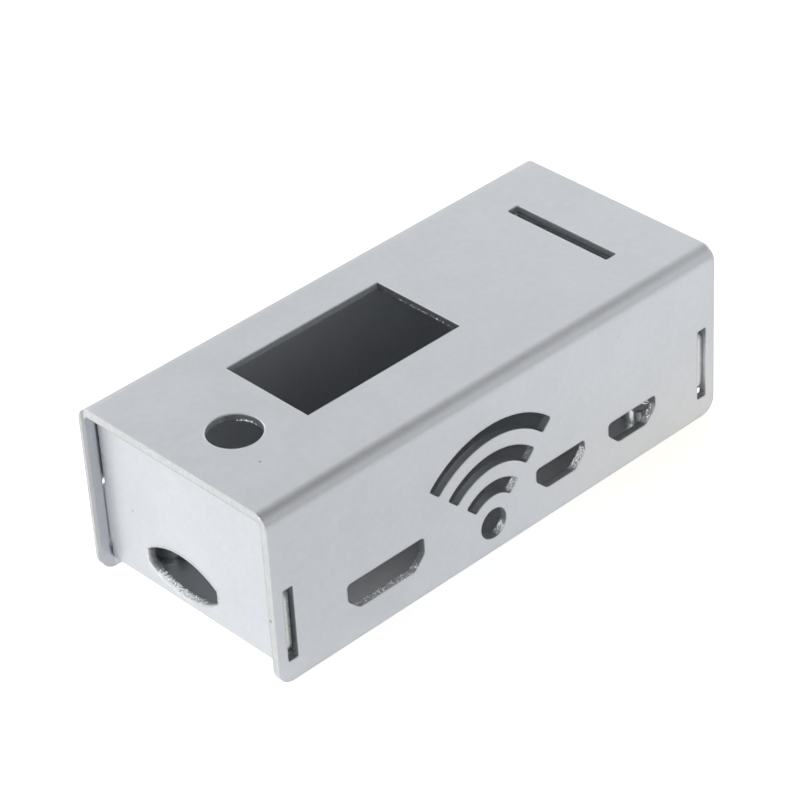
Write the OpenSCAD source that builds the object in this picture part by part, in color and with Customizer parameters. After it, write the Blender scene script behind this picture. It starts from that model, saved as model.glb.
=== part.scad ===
// Aluminium case for a 65 x 30 mm single-board computer, in millimetres.
// A folded cover (top and two long sides) snaps over a folded tray (floor and two ends):
// rounded ears on the tray's ends stand in slots in the cover's sides. Four threaded
// standoffs pressed into the tray's floor carry the board.
// +X runs from the memory-card end to the other end, the connector side faces -Y and +Z is up.
// The origin is at the middle of the case's footprint, on the surface that it stands on.

/* [Board] */
// Length of the board, along X
board_l = 65; // [60:0.5:85]
// Width of the board, along Y
board_w = 30; // [28:0.5:50]
// Thickness of the board
board_t = 1.4; // [1:0.1:2]
// Distance of each mounting hole's centre from the board's edges
hole_inset = 3.5; // [3.5:0.1:5]
// Gap between the board and each side wall
board_side_gap = 0.25; // [0.2:0.05:1]
// Gap between the board and each end flap
board_end_gap = 1.75; // [0.5:0.05:3]

/* [Sheet] */
// Thickness of both folded sheets
sheet_t = 1; // [0.8:0.1:1.5]
// Inside radius of every bend
bend_r = 0.9; // [0.5:0.1:1.5]
// Height of the case over its side walls' lower edges
case_h = 24; // [21.5:0.5:40]
// Rounding of the side walls' lower corners
wall_corner_r = 2; // [0.5:0.1:2.5]
// Rounding of the end flaps' upper corners
flap_corner_r = 1.5; // [1:0.1:3]

/* [Fit] */
// How far the end flaps stand back from the cover's ends
end_recess = 1.6; // [0.8:0.1:4]
// How far the tray's floor is held up from the side walls' lower edges
floor_lift = 0.4; // [0.1:0.1:1]
// Gap between each long edge of the tray and the side wall beside it
tray_side_gap = 0.3; // [0.1:0.05:0.5]
// Gap between the end flaps' upper edges and the cover's top
flap_top_gap = 0.3; // [0.1:0.1:2]

/* [Snap ears] */
// How far an ear's edge stays inside the side wall's outer face
ear_set_in = 0.45; // [0:0.05:0.5]
// Rounding of the ears' corners
ear_corner_r = 2; // [1:0.1:3]
// Height of the ear slots
slot_h = 10.2; // [10:0.1:12]
// Height of the ear slots' middle over the side walls' lower edges
slot_z = 8; // [7.8:0.1:10]
// Play between an ear and its slot, above and below
slot_play_z = 0.1; // [0.05:0.05:0.4]
// Radius of the corners of the ear slots and the top slot
slot_corner_r = 0.25; // [0.05:0.05:0.4]
// Play between an ear and its slot, towards the case's end
slot_play_out = 0.1; // [0.05:0.05:0.3]
// Play between an ear and its slot, towards the case's middle
slot_play_in = 0.45; // [0.1:0.05:1]

/* [Standoffs] */
// Height of a standoff over the tray's floor
standoff_h = 2; // [1:0.1:5]
// Outside diameter of a standoff
standoff_d = 5.4; // [4.2:0.1:5.6]
// Bore of a standoff, the core of its thread
thread_core_d = 2.1; // [1.6:0.1:2.6]
// Size across the flats of the hexagonal head in the floor
head_flats = 6; // [5.8:0.1:6.2]
// Thickness of the hexagonal head
head_t = 0.6; // [0.4:0.05:0.7]
// Chamfer at the ends of the bore and round the standoff's top
standoff_chamfer = 0.2; // [0.1:0.05:0.3]
// Gap round a pressed-in standoff
press_gap = 0.02; // [0.01:0.01:0.05]

/* [Connector openings] */
// Middle of the wide connector, from the board's left edge
wide_port_x = 12.4; // [10:0.1:14]
// Middle of the first small connector, from the board's left edge
small_port_1_x = 41.4; // [41:0.1:42]
// Middle of the second small connector, from the board's left edge
small_port_2_x = 54; // [52.5:0.1:55]
// How far all three openings sit to the right of their connectors
port_shift = 0.4; // [0:0.05:0.4]
// How far the openings reach below the board's upper face
port_drop = 0.6; // [0.2:0.1:1]
// Width of the wide opening
wide_port_w = 12.3; // [11:0.1:13]
// Height of the wide opening
wide_port_h = 4.15; // [3.6:0.05:5]
// Width of a small opening
small_port_w = 8.45; // [7.6:0.05:10]
// Height of a small opening
small_port_h = 3.55; // [3.2:0.05:4.5]
// Chamfer of the openings' lower corners
port_chamfer = 1.75; // [1.3:0.05:2]
// Rounding at the two ends of each chamfer
port_chamfer_r = 1; // [0.3:0.1:1.2]
// Rounding of the openings' upper corners
port_top_r = 0.55; // [0.1:0.05:0.6]

/* [Wave openings] */
// Middle of the wave openings, from the cover's left end
wave_x = 34.6; // [33:0.1:35]
// Height of the dot's middle over the side wall's lower edge
wave_z = 3.95; // [3.2:0.05:5]
// Diameter of the dot
wave_dot_d = 4.2; // [3:0.1:5]
// Inside radius of the smallest arc
wave_first_r = 4; // [3.5:0.1:4.2]
// Radial width of each arc
wave_w = 2.1; // [1.5:0.1:2.4]
// Radial step from one arc to the next
wave_step = 4.1; // [3.4:0.1:4.2]
// Number of arcs
wave_count = 3; // [1:1:3]
// Half of the angle that the arcs span
wave_half_angle = 45; // [30:1:50]
// Radius of the arcs' four corners
wave_end_r = 0.35; // [0.1:0.05:0.6]

/* [Card opening] */
// Middle of the memory card, from the board's connector edge
card_y = 16.9; // [14:0.1:17]
// Height of the card opening's middle over the board's upper face
card_z = 0.8; // [0.5:0.1:2]
// Length of the card opening
card_l = 12.2; // [11:0.1:16]
// Height of the card opening at its middle
card_h = 5.9; // [4:0.1:6.2]
// Height of the card opening at its ends
card_end_h = 1.8; // [1:0.1:2.5]

/* [Top openings] */
// Diameter of the round hole
round_hole_d = 6.8; // [4:0.1:8]
// Middle of the round hole, from the cover's left end
round_hole_x = 8.8; // [7:0.1:11]
// Middle of the round hole, from the middle line towards the far side
round_hole_y = -1.25; // [-4:0.05:4]
// Length of the display window, along X
window_l = 24.5; // [15:0.5:28]
// Width of the display window, along Y
window_w = 14.1; // [8:0.1:18]
// Middle of the display window, from the cover's left end
window_x = 28.8; // [28:0.1:35]
// Middle of the display window, from the middle line towards the far side
window_y = 1.85; // [-2:0.05:2.5]
// Width of the narrow slot, along X
top_slot_w = 1.85; // [1:0.05:3]
// Length of the narrow slot, along Y
top_slot_l = 16.8; // [8:0.1:20]
// Middle of the narrow slot, from the cover's right end
top_slot_x = 9.8; // [8:0.1:14]
// Middle of the narrow slot, from the middle line towards the far side
top_slot_y = 0.1; // [-2:0.05:2]

/* [Hidden] */
$fn = 96;

// How far a cutting shape reaches past the sheet that it cuts
cut_over = 1;
// Number of straight steps in a small rounded corner
corner_steps = 6;

case_w = board_w + 2 * (board_side_gap + sheet_t);
tray_l = board_l + 2 * (board_end_gap + sheet_t);
case_l = tray_l + 2 * end_recess;
left_end = -case_l / 2;
right_end = case_l / 2;
bend_out_r = bend_r + sheet_t;

tray_w = case_w - 2 * (sheet_t + tray_side_gap);
floor_top = floor_lift + sheet_t;
flap_top = case_h - sheet_t - flap_top_gap;
board_top = floor_top + standoff_h + board_t;
board_left = -board_l / 2;
board_near = -board_w / 2;

hole_x = board_l / 2 - hole_inset;
hole_y = board_w / 2 - hole_inset;
STANDOFFS = [[-hole_x, -hole_y], [hole_x, -hole_y], [-hole_x, hole_y], [hole_x, hole_y]];

function unit(v) = v / norm(v);

// Points of the arc of radius r that rounds the corner at b, between a and c
function corner_arc(a, b, c, r) =
    let (to_a = unit(a - b), to_c = unit(c - b))
    let (half = acos(to_a * to_c) / 2)
    let (middle = b + unit(to_a + to_c) * r / sin(half))
    let (first = b + to_a * r / tan(half) - middle)
    let (side = cross(to_a, to_c) > 0 ? -1 : 1)
    [for (i = [0 : corner_steps])
        let (turn = side * (180 - 2 * half) * i / corner_steps)
        middle + [first.x * cos(turn) - first.y * sin(turn), first.x * sin(turn) + first.y * cos(turn)]];

// A closed outline with each of its corners rounded by its own radius
function rounded(points, radii) =
    let (n = len(points))
    [for (i = [0 : n - 1])
        each corner_arc(points[(i + n - 1) % n], points[i], points[(i + 1) % n], radii[i])];

// A rectangle standing on the X axis, with its two upper corners rounded
module arched(w, h, r) {
    translate([-w / 2, 0]) square([w, h - r]);
    translate([r - w / 2, 0]) square([w - 2 * r, h]);
    for (side = [-1, 1])
        translate([side * (w / 2 - r), h - r]) circle(r);
}

// A rectangle round the middle, with the small corners that the narrow slots have
module soft_rectangle(w, h) {
    square([w - 2 * slot_corner_r, h], center = true);
    square([w, h - 2 * slot_corner_r], center = true);
    for (x = [-1, 1], y = [-1, 1])
        translate([x * (w / 2 - slot_corner_r), y * (h / 2 - slot_corner_r)]) circle(slot_corner_r);
}

// Section of a sheet folded into a channel that is open below
module channel(w, h) {
    difference() {
        arched(w, h, bend_out_r);
        translate([0, -cut_over]) arched(w - 2 * sheet_t, h - sheet_t + cut_over, bend_r);
    }
}

// Turns a flat shape into a prism along X: its x becomes Y and its y becomes Z
module along_x(l) {
    rotate([90, 0, 90]) linear_extrude(l, center = true) children();
}

// Turns a flat shape into a prism along Y: its x becomes X and its y becomes Z
module along_y(l) {
    rotate([90, 0, 0]) linear_extrude(l, center = true) children();
}

// Cuts a flat shape through a side wall, side -1 for the connector side and 1 for the far one
module through_side(side) {
    translate([0, side * (case_w - sheet_t) / 2, 0]) along_y(sheet_t + 2 * cut_over) children();
}

// Cuts a flat shape through the cover's top
module through_top() {
    translate([0, 0, case_h - sheet_t - cut_over])
        linear_extrude(sheet_t + 2 * cut_over) children();
}

// Connector opening: its lower corners are chamfered, as the connector's shell is
module port(x, w, h) {
    low = board_top - port_drop;
    c = port_chamfer;
    translate([board_left + x + port_shift, low])
        polygon(rounded(
            [[-w / 2, h], [-w / 2, c], [c - w / 2, 0], [w / 2 - c, 0], [w / 2, c], [w / 2, h]],
            [port_top_r, port_chamfer_r, port_chamfer_r, port_chamfer_r, port_chamfer_r, port_top_r]));
}

// Dot and rising arcs of a radio wave, which also let air in
module waves() {
    translate([left_end + wave_x, wave_z]) {
        circle(d = wave_dot_d);
        for (i = [0 : wave_count - 1])
            wave_arc(wave_first_r + i * wave_step);
    }
}

// Point over an arc's end line by the height given, at the distance r from the dot's middle
function over_end(r, height) =
    let (along = sqrt(r * r - wave_end_r * wave_end_r))
    along * [sin(wave_half_angle), cos(wave_half_angle)] + height * [-cos(wave_half_angle), sin(wave_half_angle)];

// One arc. Its corners are circles that touch both walls and the end line
module wave_arc(inner_r) {
    outer_r = inner_r + wave_w;
    first_r = inner_r + wave_end_r;
    last_r = outer_r - wave_end_r;
    first = over_end(first_r, wave_end_r);
    last = over_end(last_r, wave_end_r);
    past = 2 * last;
    intersection() {
        difference() {
            circle(outer_r);
            circle(inner_r);
        }
        polygon([[0, 0], first, last, past, [-past.x, past.y], [-last.x, last.y], [-first.x, first.y]]);
    }
    for (side = [0, 1])
        mirror([side, 0]) {
            polygon([first, over_end(first_r, 0), over_end(last_r, 0), last]);
            translate(first) circle(wave_end_r);
            translate(last) circle(wave_end_r);
        }
}

// Slot for one ear, seen from the side; end is -1 at the left end and 1 at the right end
module ear_slot(end) {
    slot_w = sheet_t + slot_play_out + slot_play_in;
    outer_x = case_l / 2 - end_recess + slot_play_out;
    translate([end * (outer_x - slot_w / 2), slot_z]) soft_rectangle(slot_w, slot_h);
}

// Finger opening at the memory card: two shallow arcs between short straight ends
module card_opening() {
    rise = (card_h - card_end_h) / 2;
    arc_r = (pow(card_l / 2, 2) + pow(rise, 2)) / (2 * rise);
    translate([board_near + card_y, board_top + card_z])
        intersection() {
            square([card_l, card_h + 2 * cut_over], center = true);
            translate([0, card_h / 2 - arc_r]) circle(arc_r);
            translate([0, arc_r - card_h / 2]) circle(arc_r);
        }
}

// Cover: top and both long sides, folded from one sheet
module cover() {
    color("silver") difference() {
        intersection() {
            along_x(case_l) channel(case_w, case_h);
            along_y(case_w + 2 * cut_over) cover_side();
        }
        through_side(-1) {
            port(wide_port_x, wide_port_w, wide_port_h);
            port(small_port_1_x, small_port_w, small_port_h);
            port(small_port_2_x, small_port_w, small_port_h);
            waves();
        }
        for (side = [-1, 1], end = [-1, 1])
            through_side(side) ear_slot(end);
        through_top() top_openings();
    }
}

// Outline of the cover from the side, with its lower corners rounded
module cover_side() {
    translate([0, case_h]) mirror([0, 1]) arched(case_l, case_h, wall_corner_r);
}

module top_openings() {
    translate([left_end + round_hole_x, round_hole_y]) circle(d = round_hole_d);
    translate([left_end + window_x, window_y]) square([window_l, window_w], center = true);
    translate([right_end - top_slot_x, top_slot_y]) soft_rectangle(top_slot_w, top_slot_l);
}

// Tray: floor and both end flaps, folded from one sheet
module tray() {
    color("gainsboro") difference() {
        union() {
            intersection() {
                along_y(tray_w) translate([0, flap_top]) mirror([0, 1])
                    channel(tray_l, flap_top - floor_lift);
                along_x(tray_l + 2 * cut_over) translate([0, floor_lift])
                    arched(tray_w, flap_top - floor_lift, flap_corner_r);
            }
            for (side = [-1, 1], end = [-1, 1])
                ear(side, end);
        }
        translate([(sheet_t - tray_l) / 2, 0, 0]) along_x(sheet_t + 2 * cut_over) card_opening();
        for (place = STANDOFFS)
            translate([place.x, place.y, floor_lift]) standoff_seat();
    }
}

// Ear on one edge of an end flap: a tongue with rounded corners that stands in the slot
module ear(side, end) {
    root_y = tray_w / 2 - cut_over;
    crown_y = case_w / 2 - ear_set_in;
    low = floor_lift + bend_out_r;
    translate([end * (tray_l - sheet_t) / 2, 0, 0])
        intersection() {
            along_x(sheet_t) translate([side * root_y, slot_z]) rotate(-90 * side)
                arched(slot_h - 2 * slot_play_z, crown_y - root_y, ear_corner_r);
            translate([-sheet_t, side > 0 ? root_y : -case_w / 2, low])
                cube([2 * sheet_t, case_w / 2 - root_y, flap_top - flap_corner_r - low]);
        }
}

// Hole in the floor that a standoff is pressed into from below
module standoff_seat() {
    translate([0, 0, -cut_over]) cylinder(d = standoff_d + 2 * press_gap, h = sheet_t + 2 * cut_over);
    translate([0, 0, -cut_over]) hexagon(head_flats + 2 * press_gap, head_t + press_gap + cut_over);
}

module hexagon(flats, h) {
    cylinder(d = flats / cos(30), h = h, $fn = 6);
}

// Pressed-in threaded standoff: a round barrel on a hexagonal head flush with the floor
module standoff(place) {
    total_h = sheet_t + standoff_h;
    barrel_r = standoff_d / 2;
    core_r = thread_core_d / 2;
    c = standoff_chamfer;
    color("lightgray") translate([place.x, place.y, floor_lift])
        difference() {
            union() {
                hexagon(head_flats, head_t);
                rotate_extrude()
                    polygon([[0, 0], [barrel_r, 0], [barrel_r, total_h - c], [barrel_r - c, total_h],
                        [0, total_h]]);
            }
            translate([0, 0, -cut_over]) cylinder(r = core_r, h = total_h + 2 * cut_over);
            translate([0, 0, total_h - c]) cylinder(r1 = core_r, r2 = core_r + 2 * c, h = 2 * c);
            translate([0, 0, -c]) cylinder(r1 = core_r + 2 * c, r2 = core_r, h = 2 * c);
        }
}

cover();
tray();
standoff(STANDOFFS[0]);  // standoff_1
standoff(STANDOFFS[1]);  // standoff_2
standoff(STANDOFFS[2]);  // standoff_3
standoff(STANDOFFS[3]);  // standoff_4
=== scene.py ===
import math
import bpy
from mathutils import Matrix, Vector


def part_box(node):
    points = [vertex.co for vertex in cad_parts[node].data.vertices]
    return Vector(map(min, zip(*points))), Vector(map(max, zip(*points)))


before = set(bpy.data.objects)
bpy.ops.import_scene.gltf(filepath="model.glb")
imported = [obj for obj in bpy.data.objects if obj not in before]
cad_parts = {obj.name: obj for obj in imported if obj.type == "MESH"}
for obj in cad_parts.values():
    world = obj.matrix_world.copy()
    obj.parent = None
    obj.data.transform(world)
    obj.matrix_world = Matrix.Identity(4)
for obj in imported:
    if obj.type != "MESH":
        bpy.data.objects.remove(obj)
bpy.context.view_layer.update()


# Tray: the floor and both end flaps, folded from one 1 mm aluminium sheet.
# It is cut by laser, folded, blasted with fine beads and clear anodised, so its
# faces are silky and its cut edges keep fine lines across the sheet.
def fill(tree, node, values):
    """Links a value that is a node's output to the named socket, and types in any other."""
    for name, value in values.items():
        if isinstance(value, bpy.types.NodeSocket):
            tree.links.new(value, node.inputs[name])
        else:
            node.inputs[name].default_value = value


def add(tree, kind, values=None, **settings):
    """Adds a node and gives its outputs."""
    made = tree.nodes.new("ShaderNode" + kind)
    for name, value in settings.items():
        setattr(made, name, value)
    fill(tree, made, values or {})
    return made.outputs


def sums(tree, operation, a, b=0.0, c=0.0):
    return add(tree, "Math", {0: a, 1: b, 2: c}, operation=operation)[0]


def product(tree, *factors):
    total = factors[0]
    for factor in factors[1:]:
        total = sums(tree, "MULTIPLY", total, factor)
    return total


def largest(tree, *values):
    most = values[0]
    for value in values[1:]:
        most = sums(tree, "MAXIMUM", most, value)
    return most


def vectors(tree, operation, a, b=(0.0, 0.0, 0.0), c=(0.0, 0.0, 0.0)):
    return add(tree, "VectorMath", {0: a, 1: b, 2: c}, operation=operation)[0]


def scaled(tree, vector, by):
    return add(tree, "VectorMath", {0: vector, "Scale": by}, operation="SCALE")[0]


def measure(tree, operation, a, b=(0.0, 0.0, 0.0)):
    """The length of a vector, or the dot product of two."""
    return add(tree, "VectorMath", {0: a, 1: b}, operation=operation)["Value"]


def noise(tree, place, scale, detail=2.0, roughness=0.5, output="Fac"):
    values = {"Vector": place, "Scale": scale, "Detail": detail, "Roughness": roughness}
    return add(tree, "TexNoise", values)[output]


def ramp(tree, value, low, high, to_low=0.0, to_high=1.0):
    """Goes smoothly from to_low, where the value is low, to to_high, where it is high."""
    span = {"From Min": low, "From Max": high, "To Min": to_low, "To Max": to_high}
    return add(tree, "MapRange", {"Value": value, **span}, interpolation_type="SMOOTHSTEP")[0]


def blend(tree, share, a, b):
    return add(tree, "Mix", {0: share, 2: a, 3: b})[0]


def tint(tree, share, a, b):
    return add(tree, "Mix", {0: share, 6: a, 7: b}, data_type="RGBA")[2]


def new_group(name, inputs, outputs):
    """Starts a node group; inputs and outputs give the kind of each named socket."""
    group = bpy.data.node_groups.new(name, "ShaderNodeTree")
    for side, sockets in (("INPUT", inputs), ("OUTPUT", outputs)):
        for socket, kind in sockets.items():
            group.interface.new_socket(socket, in_out=side, socket_type="NodeSocket" + kind)
    return group, group.nodes.new("NodeGroupInput").outputs, group.nodes.new("NodeGroupOutput")


# Speck of dirt, painted highlight or patch of flecks: full at its centre and gone past its reach
speck, given, gives = new_group(
    "Speck", {"Place": "Vector", "Centre": "Vector", "Reach": "Vector"}, {"Mask": "Float"})
noise_middle = (0.5, 0.5, 0.5)
unevenness = (0.25, 0.25, 0.25)
full_share = 0.35
lumps = noise(speck, given["Place"], scale=7.0, output="Color")
lumps = vectors(speck, "SUBTRACT", lumps, noise_middle)
away = vectors(speck, "SUBTRACT", given["Place"], given["Centre"])
away = vectors(speck, "MULTIPLY_ADD", lumps, unevenness, away)
share = measure(speck, "LENGTH", vectors(speck, "DIVIDE", away, given["Reach"]))
fill(speck, gives, {"Mask": ramp(speck, share, full_share, 1.0, 1.0, 0.0)})

# Bead-blasted grain with soft clouds from the anodising bath
blasted, given, gives = new_group(
    "Blasted face", {"Place": "Vector", "Grain size": "Float"},
    {"Shade": "Float", "Height": "Float"})
grains = sums(blasted, "DIVIDE", 1.0, given["Grain size"])
grain = noise(blasted, given["Place"], scale=grains, detail=3.0, roughness=0.6)
mottle = noise(blasted, given["Place"], scale=1.1)
cloud = noise(blasted, given["Place"], scale=0.16)
shade = 0.0
for layer, weight in ((cloud, 0.4), (mottle, 0.35), (grain, 0.25)):
    shade = sums(blasted, "MULTIPLY_ADD", layer, weight, shade)
fill(blasted, gives, {"Shade": shade, "Height": grain})

# Laser-cut face: fine lines across the sheet, and grit whose crests are flecks of fresh metal
laser_cut, given, gives = new_group(
    "Laser-cut face", {"Place": "Vector", "Across": "Vector"},
    {"Shade": "Float", "Grit": "Float", "Height": "Float", "Tilt": "Vector"})
drawn_out = vectors(laser_cut, "MULTIPLY", given["Place"], given["Across"])
lines = noise(laser_cut, drawn_out, scale=5.0, detail=3.0, roughness=0.65)
facets = noise(laser_cut, given["Place"], scale=4.0, output="Color")
fill(laser_cut, gives, {
    "Shade": ramp(laser_cut, lines, 0.3, 0.7),
    "Grit": noise(laser_cut, given["Place"], scale=3.6, detail=3.0, roughness=0.7),
    "Height": lines,
    "Tilt": vectors(laser_cut, "SUBTRACT", facets, noise_middle),
})

# Worn edge: a normal that rounds the sheet's corners, and a mask of where they are rubbed
worn_edge, given, gives = new_group(
    "Worn edge", {"Place": "Vector", "Width": "Float"}, {"Mask": "Float", "Normal": "Vector"})
rounded = add(worn_edge, "Bevel", {"Radius": given["Width"]}, samples=6)[0]
plain = add(worn_edge, "NewGeometry")["Normal"]
at_corner = ramp(worn_edge, measure(worn_edge, "DOT_PRODUCT", rounded, plain), 0.99, 0.8)
uneven = noise(worn_edge, given["Place"], scale=1.3, detail=3.0)
rubbed = product(worn_edge, at_corner, ramp(worn_edge, uneven, 0.35, 0.65, 0.35, 1.0))
fill(worn_edge, gives, {"Mask": rubbed, "Normal": rounded})


def sheet_faces(tree, axes, wall_axis, wall_inside, outer_edge, corner):
    """Masks of a folded sheet's walls, of its cut faces, and of those that line an opening.

    A face is cut where it stands edge-on to the sheet. The bend's zone is left out.
    """
    fold_axis = "Y" if wall_axis == "X" else "X"
    bend_zone, lower_edge, edge_on, end_on = 0.95, 0.3, 0.45, 0.5
    normal = add(tree, "SeparateXYZ", {0: add(tree, "NewGeometry")["True Normal"]})
    faces = {axis: sums(tree, "ABSOLUTE", normal[axis]) for axis in "XYZ"}
    outward = sums(tree, "ABSOLUTE", axes[wall_axis])
    along = sums(tree, "ABSOLUTE", axes[fold_axis])
    in_wall = sums(tree, "GREATER_THAN", outward, wall_inside)
    in_middle = sums(tree, "LESS_THAN", outward, wall_inside - bend_zone)
    cut = largest(
        tree,
        product(tree, in_wall, sums(tree, "LESS_THAN", faces[wall_axis], edge_on)),
        sums(tree, "GREATER_THAN", faces[fold_axis], end_on),
        product(tree, in_middle, sums(tree, "LESS_THAN", faces["Z"], edge_on)),
    )
    in_opening = product(
        tree, cut,
        sums(tree, "LESS_THAN", along, outer_edge),
        sums(tree, "GREATER_THAN", axes["Z"], lower_edge),
        sums(tree, "LESS_THAN", sums(tree, "SUBTRACT", along, axes["Z"]), corner),
    )
    return in_wall, cut, in_opening


def spots(tree, place, level, patches):
    """Raises a level to each patch's strength round its centre."""
    for centre, reach, strength in patches.values():
        values = {"Place": place, "Centre": centre, "Reach": reach}
        mask = add(tree, "Group", values, node_tree=speck)["Mask"]
        level = largest(tree, level, product(tree, mask, strength))
    return level


def painted_shade_mask(tree, axes, low, high, border, strength):
    """Mask of a painted shade that fills a box and fades over its border."""
    mask = strength
    for axis, start, end, soft in zip("XYZ", low, high, border):
        rise = ramp(tree, axes[axis], start - soft, start)
        fall = ramp(tree, axes[axis], end, end + soft, 1.0, 0.0)
        mask = product(tree, mask, rise, fall)
    return mask


def dress(node, material):
    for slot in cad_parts[node].material_slots:
        slot.material = material
    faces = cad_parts[node].data.polygons
    faces.foreach_set("use_smooth", [True] * len(faces))


def finish_sheet(node, wall_axis, outer_edge, corner, edge_width, edge_wear, colour,
                 dirt, painted_highlights, painted_glints, painted_shades):
    """Dresses a folded sheet in anodised aluminium. Its walls stand across wall_axis.

    Its openings' walls are grey and darker, a painted shade of the openings, with flecks of
    fresh metal that are dense at a glint. Each glint is a painted highlight, where the wall's
    base colour is painted lighter too. The sheet's own outer edges are smoother: they lie past
    outer_edge along the fold, close to the ground, or where that distance less the height is
    over corner, which is 99 for a sheet without rounded lower corners. Dirt, painted highlights
    and painted glints give each patch's centre, reach and strength, and painted shades give
    each shaded box's lowest and highest corner, border and strength. All are in millimetres,
    apart from edge_width, the radius in metres to which the sheet's edges look rounded.
    """
    material = bpy.data.materials.new(f"{node.capitalize()} aluminium")
    material.use_nodes = True
    tree = material.node_tree
    sheet, wall_play, mm_per_m = 1.0, 0.01, 1000.0
    place = scaled(tree, add(tree, "TexCoord")["Object"], mm_per_m)
    axes = add(tree, "SeparateXYZ", {0: place})
    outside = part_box(node)[1]["XYZ".index(wall_axis)] * mm_per_m
    wall_inside = outside - sheet + wall_play
    in_wall, cut, in_opening = sheet_faces(tree, axes, wall_axis, wall_inside, outer_edge, corner)
    grain_size, grain_span, across_sheet = 0.16, (0.35, 0.65), (1.0, 1.0, 0.15)
    face = add(tree, "Group", {"Place": place, "Grain size": grain_size}, node_tree=blasted)
    lined = add(tree, "Group", {"Place": place, "Across": across_sheet}, node_tree=laser_cut)
    edge = add(tree, "Group", {"Place": place, "Width": edge_width}, node_tree=worn_edge)

    # Fresh metal and painted highlights: flecks on the grit's crests, crowded at the painted
    # glints, worn edges, and the painted highlights
    fewest, crowding, crest = 0.12, 0.18, (0.58, 0.66)
    faint, clear = 0.1, 0.85
    painted_glint = spots(tree, place, fewest, painted_glints)
    flecks = ramp(tree, sums(tree, "MULTIPLY_ADD", painted_glint, crowding, lined["Grit"]), *crest)
    fresh = product(tree, flecks, in_opening, ramp(tree, painted_glint, 0.1, 0.5, faint, clear))
    bright = largest(tree, fresh, product(tree, edge["Mask"], edge_wear))
    bright = spots(tree, place, bright, painted_highlights)

    # Colour: clouded faces and lined cuts, with painted shade in the openings, under painted
    # shade boxes, painted highlights and dirt
    outer_cut, opening_cut = (0.73, 0.74, 0.75, 1.0), (0.78, 0.83, 0.88, 1.0)
    fresh_metal_and_highlight = (0.92, 0.93, 0.94, 1.0)
    painted_shade_colour, soil = (0.05, 0.05, 0.055, 1.0), (0.12, 0.12, 0.13, 1.0)
    face_shades, line_shades = (0.96, 1.03), (0.9, 1.02)
    # Painted shade on the openings' walls: deeper in the side walls, and faint at a painted glint
    top_opening_shade, side_opening_shade_extra, opening_shade_at_glint = 0.42, 0.14, 0.1
    deepest_opening_shade = sums(tree, "MULTIPLY_ADD", in_wall, side_opening_shade_extra, top_opening_shade)
    painted_opening_shade = product(tree, in_opening, ramp(tree, painted_glint, 0.1, 1.0, deepest_opening_shade, opening_shade_at_glint))
    face_shade = ramp(tree, face["Shade"], *grain_span, *face_shades)
    cut_shade = ramp(tree, lined["Shade"], 0.0, 1.0, *line_shades)
    cut_shade = product(tree, cut_shade, sums(tree, "SUBTRACT", 1.0, painted_opening_shade))
    cut_colour = tint(tree, in_opening, outer_cut, opening_cut)
    base = tint(tree, cut, (*colour, 1.0), cut_colour)
    base = scaled(tree, base, blend(tree, cut, face_shade, cut_shade))
    for shade_box in painted_shades.values():
        base = tint(tree, painted_shade_mask(tree, axes, *shade_box), base, painted_shade_colour)
    base = tint(tree, bright, base, fresh_metal_and_highlight)
    base = tint(tree, spots(tree, place, 0.0, dirt), base, soil)

    # Gloss: satin faces, dull openings, and smoother metal where it is bright
    satin, opening_rough, fresh_gloss, bright_gloss = (0.36, 0.4), 0.55, 0.2, 0.14
    face_metal, cut_metal, opening_loss = 0.85, 0.95, 0.45
    rough = ramp(tree, face["Shade"], *grain_span, *satin)
    rough = blend(tree, in_opening, rough, opening_rough)
    rough = sums(tree, "MULTIPLY_ADD", fresh, -fresh_gloss, rough)
    rough = sums(tree, "MULTIPLY_ADD", bright, -bright_gloss, rough)
    metal = blend(tree, cut, face_metal, cut_metal)
    metal = sums(tree, "MULTIPLY_ADD", in_opening, -opening_loss, metal)
    metal = sums(tree, "MULTIPLY_ADD", fresh, opening_loss, metal)

    # Relief: grain, cut lines and rounded edges, and flecks that lean every way
    edge_lines, opening_lines, lean_most = 0.6, 12.0, (3.0, 3.0, 3.0)
    relief_strength, relief_depth = 0.35, 0.00003
    lines_height = product(tree, lined["Height"], blend(tree, in_opening, edge_lines, opening_lines))
    height = blend(tree, cut, face["Height"], lines_height)
    outward = add(tree, "CombineXYZ", {
        wall_axis: product(tree, in_wall, sums(tree, "SIGN", axes[wall_axis])),
        "Z": sums(tree, "SUBTRACT", 1.0, in_wall),
    })[0]
    lean = vectors(tree, "MULTIPLY_ADD", lined["Tilt"], lean_most, outward)
    lean = vectors(tree, "ADD", scaled(tree, lean, fresh), edge["Normal"])
    relief = add(tree, "Bump", {
        "Strength": relief_strength, "Distance": relief_depth,
        "Height": height, "Normal": vectors(tree, "NORMALIZE", lean),
    })[0]
    fill(tree, tree.nodes["Principled BSDF"], {
        "Base Color": base, "Roughness": rough, "Metallic": metal, "Normal": relief})
    dress(node, material)


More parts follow.
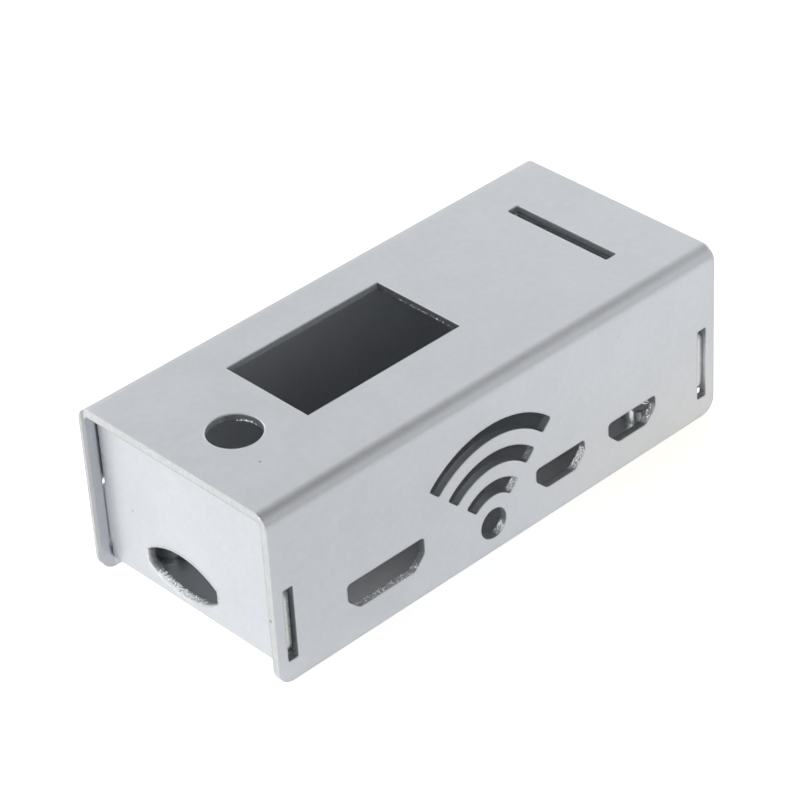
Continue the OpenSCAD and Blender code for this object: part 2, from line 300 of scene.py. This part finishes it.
finish_sheet(
    "tray", wall_axis="X", outer_edge=14.9, corner=99.0, edge_width=0.0012, edge_wear=0.9,
    # Painted light: the tray is set lighter than the cover, though both are the same stock
    colour=(0.755, 0.78, 0.81),
    dirt={"speck on the left flap": ((-35.25, 10.11, 10.92), (0.2, 0.2, 0.2), 0.5)},
    # Painted highlights: patches painted near white and smoother, where light falls on the lip and
    # the floor
    painted_highlights={
        "card opening's lip": ((-34.55, 2.2, 3.8), (0.6, 5.5, 3.0), 0.85),
        "floor behind the right openings": ((22.0, -11.0, 1.4), (22.0, 9.0, 0.8), 1.0),
    },
    # Painted glints: flecks crowd here, and the wall's base colour is painted lighter, a painted
    # highlight
    painted_glints={"card opening's lip": ((-35.0, 2.4, 4.0), (2.5, 6.0, 3.4), 1.0)},
    # Painted shade: the left flap's top under the cover's overhang, and the floor seen through the
    # wide opening
    painted_shades={
        "left flap's top": ((-36.0, -16.0, 22.0), (-35.0, 16.0, 24.0), (1.2, 1.2, 1.2), 0.1),
        "floor behind the wide opening": (
            (-24.0, -14.0, 1.3), (-9.0, -6.0, 1.5), (2.0, 2.0, 0.05), 0.32),
    },
)

# Standoffs: four threaded steel posts, turned from hexagonal bar and plated. Each is
# pressed into the tray from below, its head flush with the floor. The left pair's plating is
# painted darker, a painted shade.
thread_pitch, thread_reach, thread_depth = 0.00045, 0.0011, 0.00012
ring_waves, tool_waves, mark_depth = 60000.0, 50000.0, 0.02
shaded_left_plating, right_plating = (0.4, 0.41, 0.41, 1.0), (0.88, 0.9, 0.89, 1.0)
bore_grey, bore_share, post_gloss = (0.3, 0.3, 0.3, 1.0), 0.6, (0.1, 0.18)
post_low, post_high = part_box("standoff_1")
post = (post_low + post_high) / 2
post_finish = bpy.data.materials.new("Plated steel")
post_finish.use_nodes = True
tree = post_finish.node_tree
axes = add(tree, "SeparateXYZ", {0: add(tree, "TexCoord")["Object"]})
from_x = sums(tree, "SUBTRACT", sums(tree, "ABSOLUTE", axes["X"]), abs(post.x))
from_y = sums(tree, "SUBTRACT", sums(tree, "ABSOLUTE", axes["Y"]), abs(post.y))
squares = sums(tree, "MULTIPLY_ADD", from_x, from_x, product(tree, from_y, from_y))
reach = sums(tree, "SQRT", squares)
in_bore = sums(tree, "LESS_THAN", reach, thread_reach)
turn = sums(tree, "DIVIDE", sums(tree, "ARCTAN2", from_y, from_x), 2 * math.pi)
climb = sums(tree, "ADD", sums(tree, "DIVIDE", axes["Z"], thread_pitch), turn)
thread = sums(tree, "PINGPONG", climb, 0.5)
rings = sums(tree, "SINE", product(tree, reach, ring_waves))
tool_marks = sums(tree, "SINE", product(tree, axes["Z"], tool_waves))
marks = product(tree, sums(tree, "ADD", rings, tool_marks), mark_depth)
height = blend(tree, in_bore, marks, thread)
# Painted shade: the left pair's plating is set darker than the right pair's
plating_and_shade = tint(tree, ramp(tree, axes["X"], -0.01, 0.01), shaded_left_plating, right_plating)
fill(tree, tree.nodes["Principled BSDF"], {
    "Base Color": tint(tree, product(tree, in_bore, bore_share), plating_and_shade, bore_grey),
    "Roughness": ramp(tree, marks, -2 * mark_depth, 2 * mark_depth, *post_gloss),
    "Metallic": 1.0,
    "Normal": add(tree, "Bump", {"Strength": 0.6, "Distance": thread_depth, "Height": height})[0],
})
for number in (1, 2, 3, 4):
    dress(f"standoff_{number}", post_finish)

# Cover: the top and both long sides, folded from one sheet of the same stock as the tray.
# Its side walls are sprung over the tray's ears, and it carries every visible opening.
finish_sheet(
    "cover", wall_axis="Y", outer_edge=36.8, corner=33.3, edge_width=0.0004, edge_wear=0.15,
    colour=(0.645, 0.665, 0.697),
    dirt={
        "speck on the top": ((-29.99, -7.8, 24.0), (0.24, 0.24, 0.24), 0.6),
        "tick on the left edge": ((-36.85, -15.54, 9.4), (0.3, 0.3, 0.3), 0.5),
        "speck on the side": ((19.76, -16.25, 19.64), (0.22, 0.22, 0.22), 0.25),
    },
    # Painted highlights: patches painted near white and smoother, where light catches the corner and
    # the slot's wall
    painted_highlights={
        "near bend's left corner": ((-36.85, -15.29, 23.78), (0.3, 0.3, 0.3), 0.8),
        "right ear slot's wall": ((35.3, -16.0, 7.6), (0.17, 1.1, 6.0), 0.8),
    },
    # Painted glints: flecks crowd here, and the wall's base colour is painted lighter, a painted
    # highlight
    painted_glints={
        "round hole": ((-25.0, 0.0, 23.0), (2.2, 2.2, 0.45), 0.8),
        "window's right wall": ((4.2, 1.0, 23.0), (1.0, 11.0, 0.6), 0.35),
        "small wave's right end": ((1.4, -15.75, 7.6), (1.6, 1.6, 1.6), 0.8),
        "middle wave's right end": ((4.3, -15.75, 10.5), (1.5, 1.5, 1.5), 0.3),
        "dot under the waves": ((-0.6, -15.7, 2.2), (1.6, 1.4, 1.3), 0.9),
        "wide opening": ((-19.0, -15.4, 4.0), (9.0, 3.0, 2.4), 0.55),
        "middle opening": ((13.1, -15.5, 4.9), (2.6, 2.0, 2.4), 1.0),
        "right opening": ((25.7, -15.6, 4.9), (2.6, 1.6, 2.2), 0.6),
        "right ear slot": ((35.35, -16.1, 6.0), (6.0, 6.0, 6.0), 0.25),
    },
    # Painted shade: boxes darkened on shaded walls and on the far wall's left end
    painted_shades={
        "window's right wall": ((4.1, -5.4, 23.0), (4.3, 9.1, 23.9), (0.05, 0.05, 0.05), 0.8),
        "narrow slot's right wall": (
            (27.9, -8.4, 23.0), (28.1, 8.6, 23.9), (0.05, 0.05, 0.05), 0.4),
        "round hole's right half": ((-26.6, -5.0, 23.0), (-24.6, 2.3, 23.9), (0.6, 0.6, 0.05), 0.5),
        "waves": ((-12.0, -16.15, 6.0), (9.0, -15.35, 18.0), (0.5, 0.05, 0.5), 0.3),
        "far wall's left end": ((-36.7, 15.2, 0.0), (-35.0, 15.8, 24.0), (0.1, 0.1, 0.1), 0.2),
        "far wall's left edge": ((-37.0, 15.2, 0.0), (-36.8, 15.8, 24.0), (0.05, 0.05, 0.05), 0.38),
    },
)

# Floor: a plain white table, which keeps the case's shadow. Seen only in the case's metal,
# it glows less towards the front and the left, a painted reflection on the case, and its
# glow is slightly warm to the right of the case.
half = 2.0
table_top = bpy.data.meshes.new("table")
corners = [(-half, -half, 0), (half, -half, 0), (half, half, 0), (-half, half, 0)]
table_top.from_pydata(corners, [], [(0, 1, 2, 3)])
table = bpy.data.objects.new("table", table_top)
bpy.context.scene.collection.objects.link(table)
white = bpy.data.materials.new("White table")
white.use_nodes = True
tree = white.node_tree
camera_glow, mirror_glow, left_front_glow, warm_glow = 0.68, 0.85, 0.77, 0.07
beside_case, right_part = (-0.028, -0.018), (0.0, 0.03)
front_strip, left_part, far_front = (-0.034, -0.019), (0.005, 0.03), (-0.11, -0.035)
plain_white, warm_white = (1.0, 1.0, 1.0, 1.0), (1.0, 0.97, 0.9, 1.0)
table_colour, mirrored_colour = (0.8, 0.8, 0.8, 1.0), (0.3, 0.3, 0.3, 1.0)
ray = add(tree, "LightPath")
mirrored = largest(tree, ray["Is Glossy Ray"], ray["Is Transmission Ray"])
axes = add(tree, "SeparateXYZ", {0: add(tree, "TexCoord")["Object"]})
# Painted reflection: what the case mirrors of the table is dimmer to the front and left, warm to the
# right
warm = product(tree, ramp(tree, axes["Y"], *beside_case), ramp(tree, axes["X"], *right_part))
front = ramp(tree, axes["Y"], *front_strip, 1.0, 0.3)
left_front = product(tree, front, ramp(tree, axes["X"], *left_part, 1.0, 0.0))
nearness = ramp(tree, axes["Y"], *far_front, 0.82, 1.0)
level = ramp(tree, left_front, 0.0, 1.0, mirror_glow, left_front_glow)
seen = product(tree, mirrored, nearness, level)
seen = sums(tree, "MULTIPLY_ADD", warm, product(tree, mirrored, warm_glow), seen)
fill(tree, tree.nodes["Principled BSDF"], {
    "Base Color": tint(tree, mirrored, table_colour, mirrored_colour),
    "Roughness": 0.9,
    "Emission Color": tint(tree, warm, plain_white, warm_white),
    "Emission Strength": sums(tree, "MULTIPLY_ADD", ray["Is Camera Ray"], camera_glow, seen),
})
table_top.materials.append(white)

# Light: a white room, bright near the horizon and dark overhead, which draws the dark line
# along the cover's fold, and one soft box on the far side.
room = bpy.data.worlds.new("White room")
bpy.context.scene.world = room
room.use_nodes = True
tree = room.node_tree
tree.nodes.clear()
bright_walls = (
    ((1.0, 0.0, 0.3), 2.08),
    ((0.65, -0.76, 0.3), 0.84),
    ((0.72, 0.69, 0.3), 1.05),
    ((0.4, -0.5, 0.77), 0.17),
    ((0.4, 0.5, 0.77), 0.39),
    ((-1.0, 0.0, 0.3), 2.2),
    ((-0.5, 0.55, 0.6), 1.9),
    ((-0.65, -0.76, 0.3), 1.15),
)
falloff = 10.0
way = add(tree, "TexCoord")["Generated"]
room_level = 0.0
for side, strength in bright_walls:
    toward = measure(tree, "DOT_PRODUCT", way, Vector(side).normalized())
    wall = sums(tree, "POWER", largest(tree, toward, 0.0), falloff)
    room_level = sums(tree, "MULTIPLY_ADD", wall, strength, room_level)
lighting = add(tree, "Background", {"Color": plain_white, "Strength": room_level})[0]
backdrop = add(tree, "Background", {"Color": plain_white, "Strength": 1.0})[0]
camera_ray = add(tree, "LightPath")["Is Camera Ray"]
shown = add(tree, "MixShader", {0: camera_ray, 1: lighting, 2: backdrop})[0]
add(tree, "OutputWorld", {"Surface": shown})

lamp = bpy.data.lights.new("far soft box", "AREA")
lamp.shape, lamp.size, lamp.energy = "SQUARE", 0.35, 0.86
soft_box = bpy.data.objects.new("far soft box", lamp)
soft_box.location = (0.0, 0.55, 0.3)
aim = Vector((0.0, 0.0, 0.01)) - soft_box.location
soft_box.rotation_euler = aim.to_track_quat("-Z", "Y").to_euler()
bpy.context.scene.collection.objects.link(soft_box)

# Camera: a long lens, high at the left front corner. Its place, angle and length are
# fitted to the case's edges in the photograph.
lens = bpy.data.cameras.new("camera")
lens.lens, lens.sensor_width, lens.clip_start = 146.807, 36.0, 0.01
camera = bpy.data.objects.new("camera", lens)
camera.location = (-0.215656, -0.238282, 0.238826)
camera.rotation_euler = [math.radians(angle) for angle in (54.8648, 2.8863, -43.994)]
bpy.context.scene.collection.objects.link(camera)
bpy.context.scene.camera = camera
bpy.context.scene.view_settings.view_transform = "Standard"
